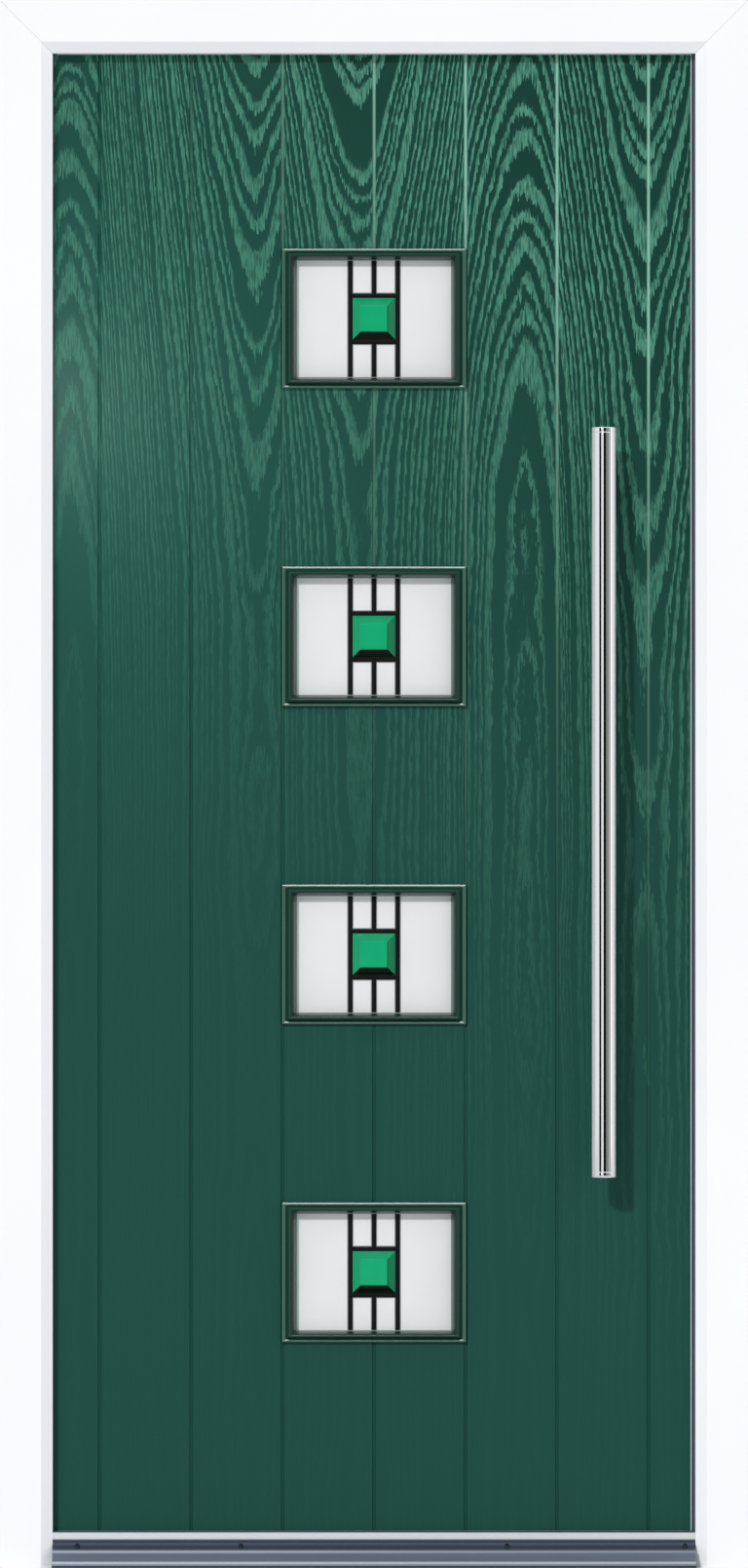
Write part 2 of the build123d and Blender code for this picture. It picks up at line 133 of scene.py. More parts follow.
def mouldedSkin(name, deep, pool, pale, grooveHighlight, contrast, rough, lustre):
    material, add, feed = newMaterial(name, Roughness=rough, IOR=1.5, Specular_IOR_Level=lustre)
    g = grain
    place = add("TexCoord", out="Object")
    x, z = add("SeparateXYZ", {0: place}, "X"), add("SeparateXYZ", {0: place}, "Z")
    half, span, pitch = g["leafHalf"], 2 * g["leafHalf"], g["plankPitch"]

    # rings = lines across the board, away from its point, plus a rise that crowds towards the top
    last = len(g["boards"]) - 1
    steps = [((edge + half) / span, (point + half) / span, up, number / last)
             for number, (edge, point, up) in enumerate(g["boards"])]
    share = add("MapRange", {0: x, 1: -half * mm, 2: half * mm})
    board = add("ValToRGB", {0: share}, stops=steps)
    point, up, lane = (add("SeparateColor", {0: board}, part) for part in ("Red", "Green", "Blue"))
    away = add("Math", {0: share, 1: point}, operation="SUBTRACT")
    away = add("Math", {0: add("Math", {0: away, 1: span / pitch}, operation="MULTIPLY")}, operation="ABSOLUTE")
    away = add("Math", {0: away, 1: g["archPower"]}, operation="POWER")
    arch = add("Math", {0: away, 1: g["archLines"]}, operation="MULTIPLY")
    sense = add("MapRange", {0: up, 3: -1.0, 4: 1.0})
    lift = add("MapRange", {0: z, 1: g["archLow"], 2: g["archHigh"]})
    rise = add("Math", {0: add("Math", {0: lift, 1: 2.0}, operation="POWER"),
                        1: (g["archHigh"] - g["archLow"]) / (2 * g["ringRise"] * mm)}, operation="MULTIPLY")
    rings = add("Math", {0: arch, 1: sense, 2: rise}, operation="MULTIPLY_ADD")

    # each board is read at a depth of its own, so that no two swing alike
    spot = add("CombineXYZ", {0: x, 1: add("Math", {0: lane, 1: g["apart"][0]}, operation="MULTIPLY"), 2: z})
    for rounds, wide, tall in (g["bend"], g["waver"], g["torn"]):
        spread = add("VectorMath", {0: spot, 1: (1 / (wide * mm), 1.0, 1 / (tall * mm))}, operation="MULTIPLY")
        jag = add("TexNoise", {"Vector": spread, "Scale": 1.0, "Detail": 2.0, "Roughness": 0.5})
        rings = add("Math", {0: jag, 1: rounds, 2: rings}, operation="MULTIPLY_ADD")
    along = add("Math", {0: lane, 1: g["apart"][1], 2: rings}, operation="MULTIPLY_ADD")
    years = add("TexNoise", {"W": along, "Scale": g["spells"], "Detail": 0.0}, noise_dimensions="1D")
    rings = add("Math", {0: years, 1: g["yearly"], 2: rings}, operation="MULTIPLY_ADD")

    # a line is the part of each ring above an edge, broken by the pores
    ridge = add("Math", {0: rings, 1: 0.5}, operation="PINGPONG")
    edge = add("MapRange", {0: years, 1: 0.3, 2: 0.7, 3: g["lineFrom"][0], 4: g["lineFrom"][1]})
    over = add("Math", {0: ridge, 1: edge}, operation="SUBTRACT")
    band = add("MapRange", {0: over, 1: 0.0, 2: g["lineEdge"]}, interpolation_type="SMOOTHSTEP")
    closed, opened, least = g["pores"]
    pores = add("MapRange", {0: jag, 1: closed, 2: opened, 3: least, 4: 1.0})
    line = add("Math", {0: band, 1: pores}, operation="MULTIPLY")
    # painted sheen: the grain lines painted lighter, and the paint between them darker, towards the top, fading towards
    # the foot
    lean = add("Math", {0: x, 1: g["fadeLean"], 2: z}, operation="MULTIPLY_ADD")
    paintedSheen = add("MapRange", {0: lean, 1: g["fadeLow"], 2: g["fadeHigh"], 3: g["fadeLeast"], 4: 1.0})
    paintedSheen = add("Math", {0: paintedSheen, 1: g["fadePower"]}, operation="POWER")

    cloud = add("TexNoise", {"Vector": place, "Scale": 1 / (g["cloud"] * mm), "Detail": 2.0})
    cloud = add("MapRange", {0: cloud, 1: 0.35, 2: 0.65, 3: 0.0, 4: 0.35})
    ground = add("Mix", {0: paintedSheen, 6: pool, 7: deep}, 2, data_type="RGBA")
    ground = add("Mix", {0: cloud, 6: ground, 7: pool}, 2, data_type="RGBA")
    amount = add("Math", {0: add("Math", {0: line, 1: paintedSheen}, operation="MULTIPLY"), 1: contrast}, operation="MULTIPLY")
    paint = add("Mix", {0: amount, 6: ground, 7: pale}, 2, data_type="RGBA")

    # the grooves painted darker as painted shade, and pale towards the lock and the top as a painted highlight
    odd = add("Math", {0: x, 1: pitch * mm / 2}, operation="ADD")
    odd = add("Math", {0: odd, 1: pitch * mm / 2}, operation="PINGPONG")
    wide = g["grooveWide"]
    groove = add("MapRange", {0: odd, 1: (pitch / 2 - wide) * mm, 2: (pitch / 2 - 0.4 * wide) * mm})
    start, end = g["paintedLight"]
    paintedLight = add("Math", {0: add("MapRange", {0: x, 1: start * mm, 2: end * mm}), 1: paintedSheen}, operation="MULTIPLY")
    grooveLightAndShade = add("Mix", {0: paintedLight, 6: deep, 7: grooveHighlight}, 2, data_type="RGBA")
    shown = add("MapRange", {0: paintedSheen, 3: g["grooveTone"][0], 4: g["grooveTone"][1]})
    groove = add("Math", {0: groove, 1: shown}, operation="MULTIPLY")
    feed("Base Color", add("Mix", {0: groove, 6: paint, 7: grooveLightAndShade}, 2, data_type="RGBA"))
    facetShadeAndRelief = add("MapRange", {0: paintedSheen, 3: 0.35, 4: 1.0})
    height = add("Math", {0: line, 1: facetShadeAndRelief, 2: jag}, operation="MULTIPLY_ADD")
    feed("Normal", add("Bump", {"Height": height, "Distance": g["relief"] * mm, "Strength": 0.4}))
    return material


greenSkin = mouldedSkin("moulded skin, green paint", linear("#06362c"), linear("#17473e"), linear("#4a8772"),
                        linear("#8cc0ac"), 1.0, 0.42, 0.12)
whiteSkin = mouldedSkin("moulded skin, white paint", linear("#e3e6e8"), linear("#e9ebed"), linear("#f3f5f6"),
                        linear("#f3f5f6"), 0.6, 0.4, 0.4)
dress(["outer_skin"], greenSkin)
dress(["inner_skin"], whiteSkin)
print("skins dressed")


# Moulded or extruded plastic: an even sheen over a faint flow ripple, with the weld line of a mitred frame if asked.
def smoothPlastic(name, colour, shade, rough, ripple, weld=0.0, lustre=0.4):
    material, add, feed = newMaterial(name, Roughness=rough, IOR=1.53, Specular_IOR_Level=lustre)
    place = add("TexCoord", out="Object")
    flow = add("TexNoise", {"Vector": place, "Scale": 1 / (333 * mm), "Detail": 3.0})
    tint = add("Mix", {0: flow, 6: linear(colour), 7: linear(shade)}, 2, data_type="RGBA")
    height = add("TexNoise", {"Vector": place, "Scale": 1 / (ripple * mm), "Detail": 1.0})
    if weld:  # the 45 degree line from each top corner of the frame
        x, z = add("SeparateXYZ", {0: place}, "X"), add("SeparateXYZ", {0: place}, "Z")
        side = add("Math", {0: x}, operation="ABSOLUTE")
        side = add("Math", {0: side, 1: float(cadBox[1][0])}, operation="SUBTRACT")
        top = add("Math", {0: z, 1: float(cadBox[1][2])}, operation="SUBTRACT")
        off = add("Math", {0: add("Math", {0: side, 1: top}, operation="SUBTRACT")}, operation="ABSOLUTE")
        clean = add("MapRange", {0: off, 1: 0.3 * weld * mm, 2: weld * mm})
        tint = add("Mix", {0: clean, 6: linear("#c9ced3"), 7: tint}, 2, data_type="RGBA")
        height = add("Math", {0: clean, 1: 6.0, 2: height}, operation="MULTIPLY_ADD")
    feed("Base Color", tint)
    feed("Normal", add("Bump", {"Height": height, "Distance": 0.05 * mm, "Strength": 0.35}))
    return material


# Drawn, brushed or polished metal: fine lines one way that stretch its highlights across them. Real lines are nearer
# 0.05 mm apart, too fine to show, so they are drawn coarser. Haze: buffing marks that show pale where it is edge on.
def drawnMetal(name, colour, shade, rough, along, line, metallic=1.0, haze=0.0):
    material, add, feed = newMaterial(name, Metallic=metallic)
    fine = [1 / (line * mm)] * 3
    fine[along] = 1 / (400 * line * mm)
    lines = add("Mapping", {"Vector": add("TexCoord", out="Object"), "Scale": fine})
    streak = add("TexNoise", {"Vector": lines, "Scale": 1.0, "Detail": 2.0})
    feed("Base Color", add("Mix", {0: streak, 6: linear(colour), 7: linear(shade)}, 2, data_type="RGBA"))
    feed("Roughness", add("MapRange", {0: streak, 3: rough * 0.7, 4: rough * 1.3}))
    feed("Normal", add("Bump", {"Height": streak, "Distance": 0.02 * mm, "Strength": 0.03 if haze else 0.2}))
    if haze:
        edgeOn = add("LayerWeight", {"Blend": 0.5}, "Facing")
        feed("Metallic", add("MapRange", {0: edgeOn, 1: 0.26, 2: 0.4, 3: metallic, 4: metallic - haze}))
    return material


framePlastic = smoothPlastic("extruded PVC, white", "#f4f6f8", "#eceff3", 0.32, 6.0, 0.8)
cassetteWhite = smoothPlastic("moulded cassette, white", "#f1f3f5", "#e8ebee", 0.3, 4.0)
# the grey of the painted shadow beside the lead
leadShadowGrey = smoothPlastic("grey strip, painted lead shadow", "#a6a7a6", "#8f9190", 0.8, 1.0, lustre=0.1)
hingeWhite = smoothPlastic("powder-coated steel, white", "#eef0f2", "#e4e7ea", 0.4, 1.2)
barSteel = drawnMetal("polished stainless steel", "#ededee", "#e4e4e6", 0.035, 2, 0.5, haze=0.8)
handleSteel = drawnMetal("polished chrome", "#dddee0", "#d2d3d6", 0.1, 2, 0.5)
screwSteel = drawnMetal("blackened steel screw", "#2a2d33", "#1d2025", 0.4, 2, 0.4, 0.6)
lockSteel = drawnMetal("zinc-plated steel, brushed", "#b5b5b0", "#9d9d99", 0.32, 2, 0.4)
spacerMetal = drawnMetal("folded aluminium spacer", "#c4c6c8", "#b4b7ba", 0.35, 2, 0.6)
dress(["head", "hinge_jamb", "lock_jamb"], framePlastic)
dress(["keep_plate", "lock_case", "lock_faceplate", "latch", "deadbolt", "hinge_pins"], lockSteel)
dress([f"hinge_{spot}_{part}_half" for spot in ("bottom", "middle", "top") for part in ("frame", "leaf")], hingeWhite)
dress(["pull_post_top", "pull_post_bottom"], barSteel)
dress(["handle_plate", "lever", "thumb_turn"], handleSteel)
dress(each("spacer"), spacerMetal)


# Sill: anodised aluminium drawn along its length, with painted highlights and painted shade in bands, heights in mm.
# Its drawn lines are coarser than the real ones, which are too fine to show.
sill = {"line": 0.9, "nose": (36.0, 37.6, 45.0, 46.6), "upper": (21.5, 23.5, 0.75),
        # bands as (height, half width, amount): painted highlights on ridges, and painted shade in hollows
        "ridges": ((8.2, 1.5, 0.5), (22.2, 2.4, 0.14)), "hollows": ((3.0, 1.9, 0.85), (27.0, 3.6, 0.55))}


def sillMetal():
    material, add, feed = newMaterial("anodised aluminium, drawn", Metallic=0.8)
    place = add("TexCoord", out="Object")
    z = add("SeparateXYZ", {0: place}, "Z")
    across, along = 1 / (sill["line"] * mm), 1 / (400 * sill["line"] * mm)
    lines = add("Mapping", {"Vector": place, "Scale": (along, across, across)})
    streak = add("TexNoise", {"Vector": lines, "Scale": 1.0, "Detail": 2.0})
    tone = add("Mix", {0: streak, 6: linear("#7a8394"), 7: linear("#5f6878")}, 2, data_type="RGBA")
    low, high, amount = sill["upper"]  # painted shade on the upper slope, under the nose
    paintedUpperShade = add("MapRange", {0: z, 1: low * mm, 2: high * mm, 4: amount})
    tone = add("Mix", {0: paintedUpperShade, 6: tone, 7: linear("#454d5c")}, 2, data_type="RGBA")
    # a painted highlight along the nose, with painted shade left above it
    low, high, under, over = (height * mm for height in sill["nose"])
    paintedNoseHighlight = add("Math", {0: add("MapRange", {0: z, 1: low, 2: high}),
                        1: add("MapRange", {0: z, 1: over, 2: under})}, operation="MULTIPLY")
    tone = add("Mix", {0: paintedNoseHighlight, 6: tone, 7: linear("#eef2f5")}, 2, data_type="RGBA")
    # painted highlights on the ridges and painted shade in the hollows
    for bands, colour in ((sill["ridges"], "#eef2f5"), (sill["hollows"], "#1b212b")):
        for height, half, amount in bands:
            off = add("Math", {0: z, 1: height * mm}, operation="SUBTRACT")
            off = add("Math", {0: off}, operation="ABSOLUTE")
            near = add("MapRange", {0: off, 1: half * mm, 2: 0.2 * half * mm, 4: amount})
            tone = add("Mix", {0: near, 6: tone, 7: linear(colour)}, 2, data_type="RGBA")
    feed("Base Color", tone)
    feed("Roughness", add("MapRange", {0: streak, 3: 0.24, 4: 0.42}))
    feed("Normal", add("Bump", {"Height": streak, "Distance": 0.02 * mm, "Strength": 0.2}))
    return material


def cassettePaint():  # moulded cassette: satin green paint, painted highlights on its lip and on the seal by the glass, painted shade over its ogee, crown and cove
    material, add, feed = newMaterial("moulded cassette, green paint", Roughness=0.2, IOR=1.53, Specular_IOR_Level=0.25)
    place = add("TexCoord", out="Object")
    flow = add("TexNoise", {"Vector": place, "Scale": 1 / (71.4 * mm), "Detail": 3.0})
    paint = add("Mix", {0: flow, 6: linear("#1c4136"), 7: linear("#265043")}, 2, data_type="RGBA")
    # painted light: above zero a painted highlight, below zero painted shade
    paintedLight = add("Attribute", out="Fac", attribute_name="paintedLight")
    paintedShade = add("MapRange", {0: paintedLight, 1: 0.0, 2: -1.0})
    paint = add("Mix", {0: paintedShade, 6: paint, 7: linear("#0d1512")}, 2, data_type="RGBA")
    feed("Base Color", add("Mix", {0: paintedLight, 6: paint, 7: linear("#93bcac")}, 2, data_type="RGBA"))
    ripple = add("TexNoise", {"Vector": place, "Scale": 1 / (4 * mm), "Detail": 1.0})
    feed("Normal", add("Bump", {"Height": ripple, "Distance": 0.05 * mm, "Strength": 0.12}))
    return material


def planedTimber():  # planed softwood: straight long grain, warm and matt
    material, add, feed = newMaterial("planed softwood", Roughness=0.55, IOR=1.5)
    year, length = 1 / (4.55 * mm), 1 / (250 * mm)
    lines = add("Mapping", {"Vector": add("TexCoord", out="Object"), "Scale": (year, year, length)})
    rings = add("TexNoise", {"Vector": lines, "Scale": 1.0, "Detail": 3.0})
    feed("Base Color", add("Mix", {0: rings, 6: linear("#a77b4c"), 7: linear("#c89c68")}, 2, data_type="RGBA"))
    return material


def rigidFoam():  # cut foam: matt and cellular, its cells drawn coarser than the real 0.3 mm
    material, add, feed = newMaterial("rigid foam, cut", Roughness=0.9)
    cells = add("TexVoronoi", {"Vector": add("TexCoord", out="Object"), "Scale": 1 / (2 * mm)})
    feed("Base Color", add("Mix", {0: cells, 6: linear("#d8c48c"), 7: linear("#c4ad72")}, 2, data_type="RGBA"))
    return material


def etchedGlass():  # acid-etched float glass: milky and even with a soft sheen
    material, add, feed = newMaterial("acid-etched glass", Roughness=0.3, IOR=1.5, Transmission_Weight=0.12,
                                      Specular_IOR_Level=0.35)
    cloud = add("TexNoise", {"Vector": add("TexCoord", out="Object"), "Scale": 1 / (111 * mm), "Detail": 2.0})
    feed("Base Color", add("Mix", {0: cloud, 6: linear("#e6e7e7"), 7: linear("#f2f3f3")}, 2, data_type="RGBA"))
    return material


def cutGlass():  # bevelled glass coloured through, each facet painted darker by its own amount as painted shade
    material, add, feed = newMaterial("bevelled glass, green", Roughness=0.08, IOR=1.52, Specular_IOR_Level=0.12)
    cloud = add("TexNoise", {"Vector": add("TexCoord", out="Object"), "Scale": 1 / (22.2 * mm), "Detail": 2.0})
    body = add("Mix", {0: cloud, 6: linear("#12a06a"), 7: linear("#1cab77")}, 2, data_type="RGBA")
    # painted shade, one amount a facet
    facetShadeAndRelief = add("Attribute", out="Fac", attribute_name="facetShadeAndRelief")
    feed("Base Color", add("Mix", {0: facetShadeAndRelief, 6: body, 7: linear("#020604")}, 2, data_type="RGBA"))
    return material


def leadStrip():  # milled lead, blackened: dull with small dents
    material, add, feed = newMaterial("blackened lead", Roughness=0.55, Specular_IOR_Level=0.12)
    dents = add("TexNoise", {"Vector": add("TexCoord", out="Object"), "Scale": 1 / (7.14 * mm), "Detail": 3.0})
    feed("Base Color", add("Mix", {0: dents, 6: linear("#030303"), 7: linear("#0c0d0d")}, 2, data_type="RGBA"))
    feed("Normal", add("Bump", {"Height": dents, "Distance": 0.15 * mm, "Strength": 0.5}))
    return material


leadBlack, paneGlass, blockGlass, cassetteGreen = leadStrip(), etchedGlass(), cutGlass(), cassettePaint()
dress(["threshold"], sillMetal())
dress(["hinge_stile", "lock_stile", "top_rail", "bottom_rail"], planedTimber())
dress(["foam_core"], rigidFoam())
dress(each("outer_pane") + each("inner_pane"), paneGlass)
dress(each("bevelled_block"), blockGlass)
dress(each("leaded_pattern"), leadBlack)
print("materials made:", len(bpy.data.materials))


def addPiece(name, points, faces, body, material, sharp=35.0):  # a closed mesh at the origin that rides on a body
    mesh = bpy.data.meshes.new(name)
    mesh.from_pydata(points.tolist(), [], faces if isinstance(faces, list) else faces.tolist())
    mesh.polygons.foreach_set("use_smooth", np.ones(len(mesh.polygons), dtype=bool))
    mesh.set_sharp_from_angle(angle=math.radians(sharp))
    mesh.materials.append(material)
    mesh.update()
    piece = bpy.data.objects.new(name, mesh)
    scene.collection.objects.link(piece)
    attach(piece, body)
    return piece


def gridFaces(rows, columns, wrapRows=False, wrapColumns=False):  # quads between neighbours on a rows by columns grid
    r, c = np.meshgrid(np.arange(rows if wrapRows else rows - 1),
                       np.arange(columns if wrapColumns else columns - 1), indexing="ij")
    down, along = (r + 1) % rows, (c + 1) % columns
    quads = [r * columns + c, r * columns + along, down * columns + along, down * columns + c]
    return np.stack(quads, axis=-1).reshape(-1, 4)


def tubeFaces(rows, steps):  # the quads of a grid that closes round each row, with its first and last rows capped
    ring = np.arange(steps)
    return gridFaces(rows, steps, False, True).tolist() + [ring[::-1].tolist(), (ring + (rows - 1) * steps).tolist()]


def joined(shapes):  # several (points, faces) as one
    first = np.cumsum([0] + [len(points) for points, faces in shapes])
    faces = [(np.array(face) + start).tolist() for start, (points, some) in zip(first, shapes) for face in some]
    return np.concatenate([points for points, faces in shapes]), faces


def turned(outline, steps):  # an outline of (along, radius) turned about the axis, flat ends closed
    angle = np.linspace(0, 2 * np.pi, steps, endpoint=False)
    along, radius = outline[:, :1], outline[:, 1:]
    points = np.stack([radius * np.cos(angle), radius * np.sin(angle),
                       np.broadcast_to(along, (len(outline), steps))], axis=-1)
    return points.reshape(-1, 3), tubeFaces(len(outline), steps)


corners = np.array([(-1, -1), (1, -1), (1, 1), (-1, 1)])  # of a window, from the lower left on round

# Cassette moulding: a profile of (share across the border, height over the face) carried round four mitred corners.
# Lip: a low roof. Ogee: half a cosine wave up from the quirk to the crown. Cove: a quarter wave down to the glass.
cassette = {"sight": (206.0, 156.0), "border": (20.5, 15.5), "facets": 11, "legShare": 0.44, "legDepth": 8.0,
            "lip": 6.0, "lipShare": 0.26, "lipRise": 0.6, "roof": ((0.0, 2), (0.08, 1), (0.5, 0), (0.92, 1), (1.0, 2)),
            "quirk": 4.4, "quirkShare": 0.03, "crown": 12.9, "crownShare": 0.5, "flatShare": 0.58, "covePower": 1.3,
            "sealShare": 0.07, "sealRise": 0.9,
            # painted highlights (+) and painted shade (-), as (first facet, last facet, amount) from the lip inwards
            "paintedLight": ((1, 2, 0.1), (3, 15, -0.38), (16, 24, -0.7), (26, 26, 0.6))}


def cassetteProfile():
    c = cassette
    s = np.linspace(0, 1, c["facets"])
    lip = np.array(c["roof"]) * [c["lipShare"], -c["lipRise"]] + [0.0, c["lip"]]
    start = c["lipShare"] + c["quirkShare"]
    ogee = np.stack([start + (c["crownShare"] - start) * s,
                     c["quirk"] + (c["crown"] - c["quirk"]) * (0.5 - 0.5 * np.cos(np.pi * s))], axis=1)
    foot = c["sealRise"] - c["legDepth"]
    cove = np.stack([c["flatShare"] + (1 - c["sealShare"] - c["flatShare"]) * np.sin(np.pi / 2 * s),
                     (c["crown"] - foot) * np.cos(np.pi / 2 * s) ** c["covePower"] + foot], axis=1)
    seat = np.array([(1.0, foot), (1.0, -c["legDepth"])])  # the thin seal on the glass
    back = np.array([(c["legShare"], -c["legDepth"]), (c["legShare"], 0.0), (0.0, 0.0)])
    return np.concatenate([lip, ogee, cove, seat, back])


def cassettePiece(name, height, face, outward, material):
    border = np.array(cassette["border"])
    profile = cassetteProfile()
    reach = np.array(cassette["sight"]) / 2 + border - profile[:, :1] * border  # half width and half height
    x, z = corners[:, None, 0] * reach[None, :, 0], corners[:, None, 1] * reach[None, :, 1]
    y = np.broadcast_to(outward * profile[:, 1], x.shape)
    points = np.stack([x, y, z], axis=-1).reshape(-1, 3) * mm + np.array([0.0, face, height])
    faces = gridFaces(len(corners), len(profile), True, True)
    piece = addPiece(name, points, faces[:, ::-1] if outward < 0 else faces, "leaf", material, 30.0)

    # crisp mitres: an edge whose two ends lie at the same corner is sharp
    edges = piece.data.edges
    ends, sharp = np.empty(2 * len(edges), dtype=np.int32), np.empty(len(edges), dtype=bool)
    edges.foreach_get("vertices", ends)
    edges.foreach_get("use_edge_sharp", sharp)
    ends = ends.reshape(-1, 2) // len(profile)
    edges.foreach_set("use_edge_sharp", sharp | (ends[:, 0] == ends[:, 1]))

    # painted highlights and painted shade, alike on all four sides
    paintedLight = np.zeros((len(corners), len(profile)), dtype=np.float32)
    for first, last, amount in cassette["paintedLight"]:
        paintedLight[:, first:last + 1] = amount
    piece.data.attributes.new("paintedLight", "FLOAT", "FACE").data.foreach_set("value", paintedLight.ravel())
    return piece


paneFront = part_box("outer_pane_1")[0][1]
leafFront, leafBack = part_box("outer_skin")[0][1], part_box("inner_skin")[1][1]
windowHeights = [(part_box(name)[0][2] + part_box(name)[1][2]) / 2 for name in each("outer_pane")]
for row, height in enumerate(windowHeights, start=1):
    outer = cassettePiece(f"cassette_street_{row}", height, leafFront, -1, cassetteGreen)
    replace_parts(outer, f"outer_cassette_{row}")
    inner = cassettePiece(f"cassette_house_{row}", height, leafBack, 1, cassetteWhite)
    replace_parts(inner, f"inner_cassette_{row}")
print("cassettes made")


# Leading: a flattened half-round, the sine of the angle to a low power, carried along each straight run, with a solder
# dome over each joint, a quarter ellipse turned about its middle. A wider, lower grey run below the lead is a painted
# shadow.
leading = {"width": 6.0, "height": 2.0, "lip": 0.4, "bow": 0.4, "facets": 9, "blockWide": 57.5, "blockTall": 56.0,
           "top": 77.7, "solder": 3.2, "solderClear": 0.02, "solderSteps": 18,
           "leadShadow": 8.6, "leadShadowHeight": 0.3, "leadShadowLip": 0.05}


def leadRun(start, end, width, height, lip):
    turn = np.linspace(0, np.pi, leading["facets"])
    start, end = np.array(start), np.array(end)
    along = (end - start) / np.linalg.norm(end - start)
    flat = np.cos(turn)[:, None] * np.array([-along[1], along[0]]) * width / 2
    rise = lip + (height - lip) * np.sin(turn) ** leading["bow"]
    edges = [[*flat[-1], 0.0], [*flat[0], 0.0]]  # down to the glass
    section = np.concatenate([np.column_stack([flat, rise]), edges])
    points = np.concatenate([section + [*start, 0.0], section + [*end, 0.0]])
    return points, tubeFaces(2, len(section))


def solderDome(centre):
    ring = np.linspace(0, np.pi / 2, 6)[:-1]
    clear = leading["solderClear"]  # off the glass, and half as much below the lead's top
    rise = clear + (leading["height"] - 1.5 * clear) * np.sin(ring)
    points, faces = turned(np.stack([rise, leading["solder"] * np.cos(ring)], axis=1), leading["solderSteps"])
    return points + [*centre, 0.0], faces


def leadingPiece(row, height):
    side, beam = (leading["blockWide"] + leading["width"]) / 2, (leading["blockTall"] + leading["width"]) / 2
    top = leading["top"]
    runs = [((-side, -top), (-side, top)), ((side, -top), (side, top)), ((-side, beam), (side, beam)),
            ((-side, -beam), (side, -beam)), ((0, beam), (0, top)), ((0, -top), (0, -beam))]
    joints = [(-side, beam), (side, beam), (-side, -beam), (side, -beam), (0, beam), (0, -beam)]
    strips = [leadRun(*run, leading["width"], leading["height"], leading["lip"]) for run in runs]
    lead = joined(strips + [solderDome(joint) for joint in joints])
    # painted shadow: a grey run, wider than the lead, either side of it on the glass
    leadShadowRuns = joined([leadRun(*run, leading["leadShadow"], leading["leadShadowHeight"], leading["leadShadowLip"]) for run in runs])
    for name, (flat, faces), material in ((f"leading_{row}", lead, leadBlack), (f"cement_{row}", leadShadowRuns, leadShadowGrey)):
        points = np.stack([flat[:, 0], -flat[:, 2], flat[:, 1]], axis=-1) * mm + np.array([0.0, paneFront, height])
        piece = addPiece(name, points, faces, "leaf", material, 60.0)
        if material is leadBlack:
            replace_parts(piece, f"leaded_pattern_{row}")


# Bevelled block: rings of four corners at (inset, height), and how much painted shade each facet gets, bottom, right,
# top and left.
jewel = {"rings": ((0.0, 0.0), (0.0, 2.5), (10.0, 10.1), (10.9, 10.5)),
         "facetShades": ((0.95, 0.9, 0.85, 0.9), (0.99, 0.5, 0.2, 0.18), (0.5, 0.95, 0.0, 0.05)), "base": 1.0, "table": 0.05}


def jewelPiece(row):
    low, high = np.array(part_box(f"bevelled_block_{row}"))
    middle, half = (low + high)[[0, 2]] / 2, (high - low)[[0, 2]] / 2
    rings = np.array(jewel["rings"]) * mm
    flat = middle + corners * (half - rings[:, None, :1])
    level = np.broadcast_to(high[1] - rings[:, 1:], flat.shape[:2])
    points = np.stack([flat[..., 0], level, flat[..., 1]], axis=-1).reshape(-1, 3)
    faces = tubeFaces(len(rings), len(corners))
    piece = addPiece(f"jewel_{row}", points, faces, "leaf", blockGlass, 10.0)
    # painted shade for each facet, then the base and the table
    facetShades = np.append(np.ravel(jewel["facetShades"]), (jewel["base"], jewel["table"])).astype(np.float32)
    piece.data.attributes.new("facetShadeAndRelief", "FLOAT", "FACE").data.foreach_set("value", facetShades)
    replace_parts(piece, f"bevelled_block_{row}")


for row, height in enumerate(windowHeights, start=1):
    leadingPiece(row, height)
    jewelPiece(row)
print("leading and blocks made")


# Pull bar: an outline of (height, radius) turned about its axis, with a rounded rim and a fine cap seam at each end.
# Plain rings beside the rim and the seam keep the shine true between them.
bar = {"rim": 1.6, "seam": 7.0, "seamWide": 0.4, "seamDeep": 0.25, "plain": 1.2, "steps": 128}


def pullBarPiece():
    low, high = np.array(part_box("pull_bar"))
    half, radius = (high[2] - low[2]) / 2 / mm, (high[0] - low[0]) / 2 / mm
    turn = np.linspace(0, np.pi / 2, 7)
    rim = np.stack([bar["rim"] * (1 - np.sin(turn)), radius - bar["rim"] * (1 - np.cos(turn))], axis=1)[::-1]
    seam = bar["seam"] + np.array([-bar["plain"], -bar["seamWide"], 0.0, bar["seamWide"], bar["plain"]])
    sunk = radius - bar["seamDeep"] * np.array([0.0, 0.0, 1.0, 0.0, 0.0])
    end = np.concatenate([rim, [(2 * bar["rim"], radius)], np.stack([seam, sunk], axis=1)]) - [half, 0.0]
    points, faces = turned(np.concatenate([end, end[::-1] * [-1, 1]]), bar["steps"])
    points = points * mm + (low + high) / 2
    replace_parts(addPiece("pull_bar_tube", points, faces, "leaf", barSteel, 50.0), "pull_bar")


pullBarPiece()
print("pull bar made")


# Seal: flat on the frame's stop, with a lip that reaches into the daylight, most on the lock side. The lip's half-round
# section is carried round the frame, its reach different on each side. Lips are left, right, top and bottom.
seal = {"outer": (438.0, 40.0, 2032.0), "lips": (8.4, 14.2, 9.0, 8.0), "lipFrom": 425.2, "round": 0.15,
        "front": -12.95, "back": -9.4}


def sealStrip():  # extruded rubber: matt dark body, dusty, paler along its inner edge
    material, add, feed = newMaterial("extruded rubber, dark", Roughness=0.6, IOR=1.52)
    place = add("TexCoord", out="Object")
    dust = add("TexNoise", {"Vector": place, "Scale": 1 / (11.1 * mm), "Detail": 3.0})
    body = add("Mix", {0: dust, 6: linear("#232a3a"), 7: linear("#343c4d")}, 2, data_type="RGBA")
    x = add("Math", {0: add("SeparateXYZ", {0: place}, "X")}, operation="ABSOLUTE")
    lip = add("MapRange", {0: x, 1: seal["lipFrom"] * mm, 2: (seal["lipFrom"] - 0.3) * mm})
    feed("Base Color", add("Mix", {0: lip, 6: body, 7: linear("#b9c4c6")}, 2, data_type="RGBA"))
    return material


